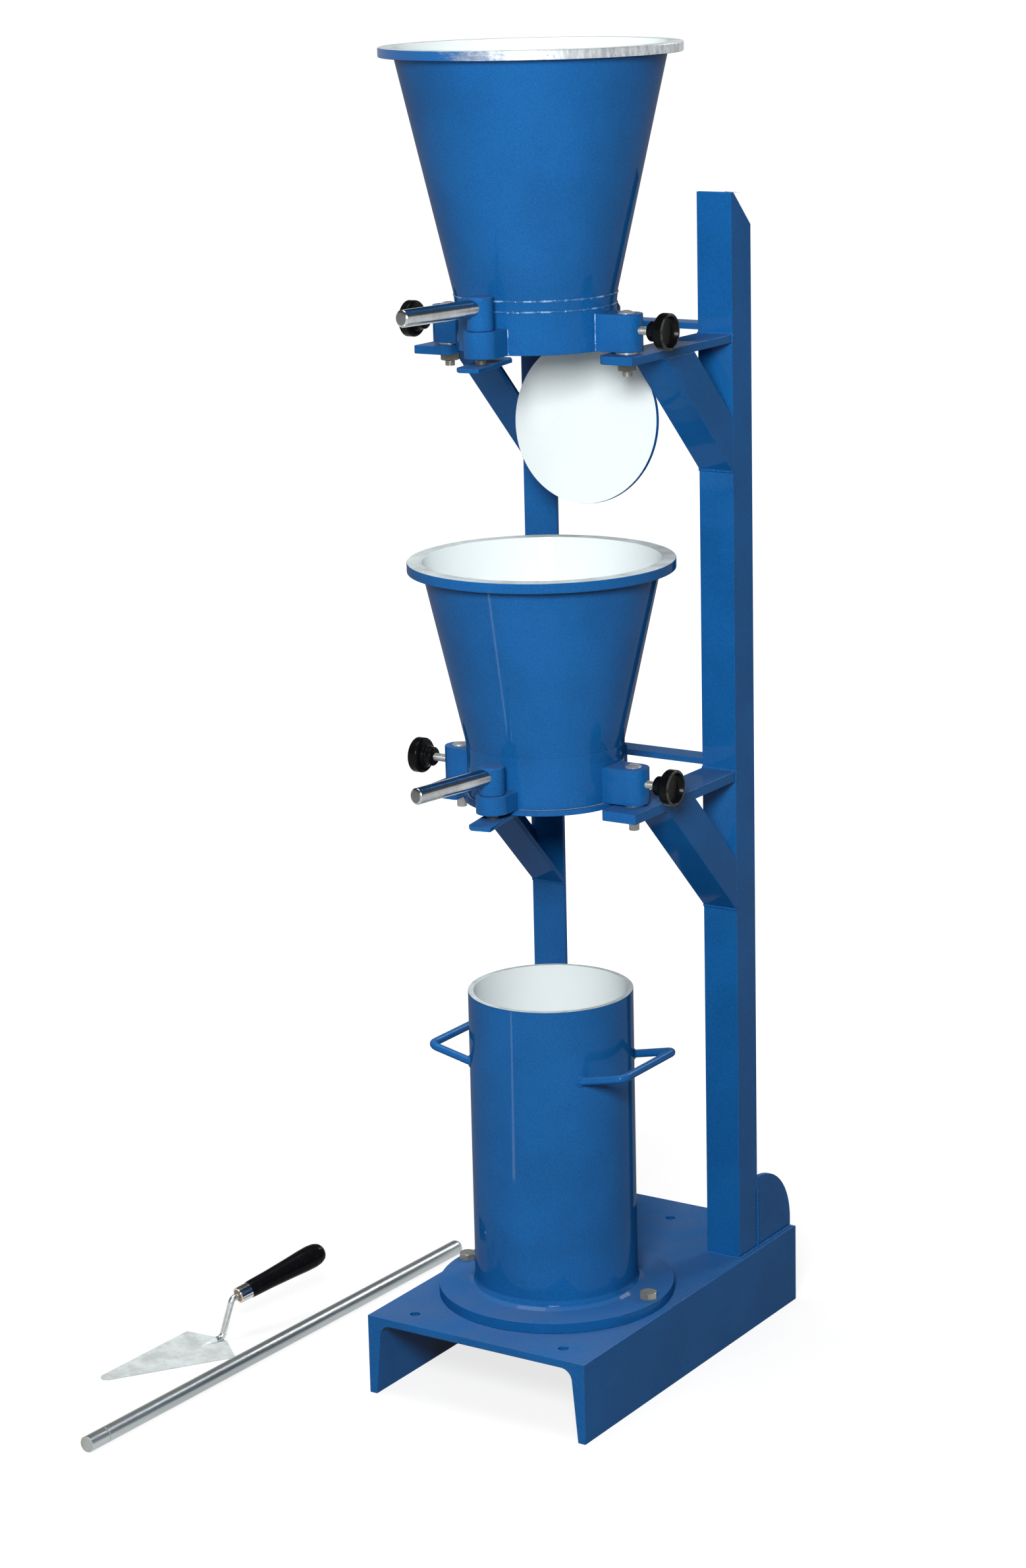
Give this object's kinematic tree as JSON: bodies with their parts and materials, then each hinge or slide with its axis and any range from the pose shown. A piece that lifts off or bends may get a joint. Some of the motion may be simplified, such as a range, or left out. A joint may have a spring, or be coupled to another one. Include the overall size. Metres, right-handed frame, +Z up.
{
  "type": "compaction factor apparatus",
  "caption": "Stand for testing fresh concrete: conical hoppers with hinged trapdoors and side latches above an open cylinder with handles, with a tamping rod and a trowel.",
  "frame": {"origin": "on the floor, midway between the base's two flange toes, straight under the common axis of the hoppers and the cylinder", "axes": "+Z up along the hoppers' axis, +X to the right seen from the front, -Y to the front, where the latch levers are"},
  "size_m": [0.5304, 0.6753, 1.309],
  "materials": {
    "blue_enamel": "glossy deep blue enamel, white inside the hoppers and the cylinder",
    "white_enamel": "glossy white enamel on the inner face, blue on the back",
    "rim_steel": "ground top face",
    "bright_pins": "turned bright",
    "dull_steel": "dull grey with a little rust",
    "lever_chrome": "polished chrome",
    "black_moulding": "glossy black moulding",
    "rod_steel": "bright drawn steel",
    "blade_steel": "ground, mottled",
    "ferrule_steel": "plated bright",
    "handle_lacquer": "glossy black lacquer"
  },
  "bodies": {
    "stand": {"base_channel": "blue_enamel", "post_left": "blue_enamel", "post_right": "blue_enamel", "foot_gussets": "blue_enamel", "upper_arm_left": "blue_enamel", "upper_arm_right": "blue_enamel", "lower_arm_left": "blue_enamel", "lower_arm_right": "blue_enamel", "upper_brace_left": "blue_enamel", "upper_brace_right": "blue_enamel", "lower_brace_left": "blue_enamel", "lower_brace_right": "blue_enamel", "cross_bars": "blue_enamel", "upper_seat_pins": "bright_pins", "upper_pin_nuts": "dull_steel", "lower_seat_pins": "bright_pins"},
    "cylinder": {"cylinder_tube": "blue_enamel", "cylinder_flange": "blue_enamel", "cylinder_handle_left": "blue_enamel", "cylinder_handle_right": "blue_enamel"},
    "hold_down_bolts": {"cylinder_bolts": "dull_steel"},
    "upper_hopper": {"upper_cone": "blue_enamel", "upper_rim": "rim_steel", "upper_collar": "blue_enamel", "upper_seat_lugs": "blue_enamel", "upper_latch_lug": "blue_enamel", "upper_hinge_ears": "blue_enamel", "upper_hinge_pin": "dull_steel"},
    "upper_door": {"upper_trapdoor": "white_enamel", "upper_door_strap": "blue_enamel"},
    "upper_latch": {"upper_latch_shaft": "dull_steel", "upper_latch_hub": "blue_enamel", "upper_latch_lever": "lever_chrome", "upper_latch_plate": "blue_enamel"},
    "upper_left_thumb_screw": {"upper_left_screw": "dull_steel", "upper_left_knob": "black_moulding"},
    "upper_right_thumb_screw": {"upper_right_screw": "dull_steel", "upper_right_knob": "black_moulding"},
    "lower_hopper": {"lower_cone": "blue_enamel", "lower_rim": "rim_steel", "lower_collar": "blue_enamel", "lower_seat_lugs": "blue_enamel", "lower_latch_lug": "blue_enamel", "lower_hinge_ears": "blue_enamel", "lower_hinge_pin": "dull_steel"},
    "lower_door": {"lower_trapdoor": "white_enamel", "lower_door_strap": "blue_enamel"},
    "lower_latch": {"lower_latch_shaft": "dull_steel", "lower_latch_hub": "blue_enamel", "lower_latch_lever": "lever_chrome", "lower_latch_plate": "blue_enamel"},
    "lower_left_thumb_screw": {"lower_left_screw": "dull_steel", "lower_left_knob": "black_moulding"},
    "lower_right_thumb_screw": {"lower_right_screw": "dull_steel", "lower_right_knob": "black_moulding"},
    "rod": {"tamping_rod": "rod_steel"},
    "trowel": {"trowel_blade": "blade_steel", "trowel_ferrule": "ferrule_steel", "trowel_handle": "handle_lacquer"}
  },
  "joints": [
    {"name": "cylinder_lift", "type": "slide", "parent": "stand", "child": "cylinder", "axis": [0, 0, 1], "range_m": [0, 0.15]},
    {"name": "bolts_out", "type": "slide", "parent": "cylinder", "child": "hold_down_bolts", "axis": [0, 0, 1], "range_m": [0, 0.022]},
    {"name": "upper_hopper_lift", "type": "slide", "parent": "stand", "child": "upper_hopper", "axis": [0, 0, 1], "range_m": [0, 0.1]},
    {"name": "lower_hopper_lift", "type": "slide", "parent": "stand", "child": "lower_hopper", "axis": [0, 0, 1], "range_m": [0, 0.036]},
    {"name": "upper_door_hinge", "type": "hinge", "parent": "upper_hopper", "child": "upper_door", "pos_m": [0, 0.088, 1.036], "axis": [1, 0, 0], "range_deg": [-83.1, 76.9]},
    {"name": "upper_latch_turn", "type": "hinge", "parent": "upper_hopper", "child": "upper_latch", "pos_m": [0, -0.095, 1.03], "axis": [0, 0, 1], "range_deg": [-90, 90]},
    {"name": "upper_left_screw_travel", "type": "slide", "parent": "upper_hopper", "child": "upper_left_thumb_screw", "axis": [-1, 0, 0], "range_m": [0, 0.006]},
    {"name": "upper_right_screw_travel", "type": "slide", "parent": "upper_hopper", "child": "upper_right_thumb_screw", "axis": [1, 0, 0], "range_m": [0, 0.006]},
    {"name": "lower_door_hinge", "type": "hinge", "parent": "lower_hopper", "child": "lower_door", "pos_m": [0, 0.088, 0.604], "axis": [1, 0, 0], "range_deg": [0, 160]},
    {"name": "lower_latch_turn", "type": "hinge", "parent": "lower_hopper", "child": "lower_latch", "pos_m": [0, -0.095, 0.598], "axis": [0, 0, 1], "range_deg": [-90, 90]},
    {"name": "lower_left_screw_travel", "type": "slide", "parent": "lower_hopper", "child": "lower_left_thumb_screw", "axis": [-1, 0, 0], "range_m": [-0.005, 0.001]},
    {"name": "lower_right_screw_travel", "type": "slide", "parent": "lower_hopper", "child": "lower_right_thumb_screw", "axis": [1, 0, 0], "range_m": [0, 0.006]},
    {"name": "rod_lift", "type": "slide", "parent": "stand", "child": "rod", "axis": [0, 0, 1], "range_m": [0, 0.3]},
    {"name": "trowel_lift", "type": "slide", "parent": "stand", "child": "trowel", "axis": [0, 0, 1], "range_m": [0, 0.3]}
  ]
}
